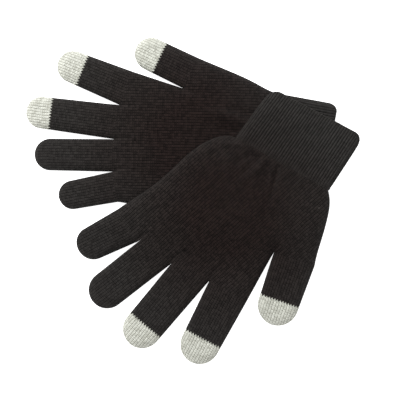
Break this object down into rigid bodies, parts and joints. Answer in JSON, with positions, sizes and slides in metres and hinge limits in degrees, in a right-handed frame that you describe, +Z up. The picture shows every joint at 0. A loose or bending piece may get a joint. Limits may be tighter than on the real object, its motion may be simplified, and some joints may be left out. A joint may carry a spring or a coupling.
{
  "type": "touchscreen gloves",
  "caption": "Pair of thin knitted gloves lying crossed, black with pale conductive tips on thumb, index and middle finger; each is hollow, with an elastic ribbed cuff.",
  "frame": {"origin": "middle of the pair's box in plan, on the surface that the gloves lie on", "axes": "+Z up through both gloves as they lie, backs of the hands up; the left glove's fingers point to -X, and the right glove's to -X and -Y"},
  "size_m": [0.226, 0.2202, 0.0188],
  "materials": {
    "plain_knit": "black stretch knit, matt, with a soft haze of fibres",
    "rib_knit": "black ribbed knit over elastic, matt",
    "conductive_knit": "pale grey conductive knit with fine silver strands",
    "elastic_thread": "covered elastic thread, matt black"
  },
  "bodies": {
    "left_hand": {"left_hand": "plain_knit", "left_cuff": "rib_knit", "left_cuff_welt": "rib_knit", "left_cuff_elastic": "elastic_thread"},
    "left_thumb": {"left_thumb": "plain_knit", "left_thumb_tip": "conductive_knit"},
    "left_index": {"left_index": "plain_knit", "left_index_tip": "conductive_knit"},
    "left_middle": {"left_middle": "plain_knit", "left_middle_tip": "conductive_knit"},
    "left_ring": {"left_ring": "plain_knit"},
    "left_little": {"left_little": "plain_knit"},
    "right_hand": {"right_hand": "plain_knit", "right_cuff": "rib_knit", "right_cuff_welt": "rib_knit", "right_cuff_elastic": "elastic_thread"},
    "right_thumb": {"right_thumb": "plain_knit", "right_thumb_tip": "conductive_knit"},
    "right_index": {"right_index": "plain_knit", "right_index_tip": "conductive_knit"},
    "right_middle": {"right_middle": "plain_knit", "right_middle_tip": "conductive_knit"},
    "right_ring": {"right_ring": "plain_knit"},
    "right_little": {"right_little": "plain_knit"}
  },
  "joints": [
    {"name": "right_glove_lift", "type": "slide", "parent": "left_hand", "child": "right_hand", "axis": [0, 0, 1], "range_m": [0, 0.12]},
    {"name": "left_thumb_bend", "type": "hinge", "parent": "left_hand", "child": "left_thumb", "pos_m": [-0.00213, 0.08616, 0], "axis": [-0.4352, -0.9003, 0], "range_deg": [0, 60]},
    {"name": "left_index_bend", "type": "hinge", "parent": "left_hand", "child": "left_index", "pos_m": [-0.04553, 0.07594, 0], "axis": [-0.3746, -0.9272, 0], "range_deg": [0, 85]},
    {"name": "left_middle_bend", "type": "hinge", "parent": "left_hand", "child": "left_middle", "pos_m": [-0.05215, 0.05316, 0], "axis": [-0.1271, -0.9919, 0], "range_deg": [0, 85]},
    {"name": "left_ring_bend", "type": "hinge", "parent": "left_hand", "child": "left_ring", "pos_m": [-0.05456, 0.03062, 0], "axis": [-0.0157, -0.9999, 0], "range_deg": [0, 85]},
    {"name": "left_little_bend", "type": "hinge", "parent": "left_hand", "child": "left_little", "pos_m": [-0.05305, 0.00946, 0], "axis": [0.1857, -0.9826, 0], "range_deg": [0, 85]},
    {"name": "right_thumb_bend", "type": "hinge", "parent": "right_hand", "child": "right_thumb", "pos_m": [0.06765, -0.03946, 0.00017], "axis": [0.9444, -0.3289, 0], "range_deg": [0, 60]},
    {"name": "right_index_bend", "type": "hinge", "parent": "right_hand", "child": "right_index", "pos_m": [0.02301, -0.06104, 0], "axis": [0.8846, -0.4664, 0], "range_deg": [0, 85]},
    {"name": "right_middle_bend", "type": "hinge", "parent": "right_hand", "child": "right_middle", "pos_m": [-0.00024, -0.0455, 0], "axis": [0.7638, -0.6455, 0], "range_deg": [0, 85]},
    {"name": "right_ring_bend", "type": "hinge", "parent": "right_hand", "child": "right_ring", "pos_m": [-0.02398, -0.03316, 0.00027], "axis": [0.6157, -0.788, 0], "range_deg": [0, 85]},
    {"name": "right_little_bend", "type": "hinge", "parent": "right_hand", "child": "right_little", "pos_m": [-0.04491, -0.0168, 0.00473], "axis": [0.454, -0.891, 0], "range_deg": [0, 85]}
  ]
}
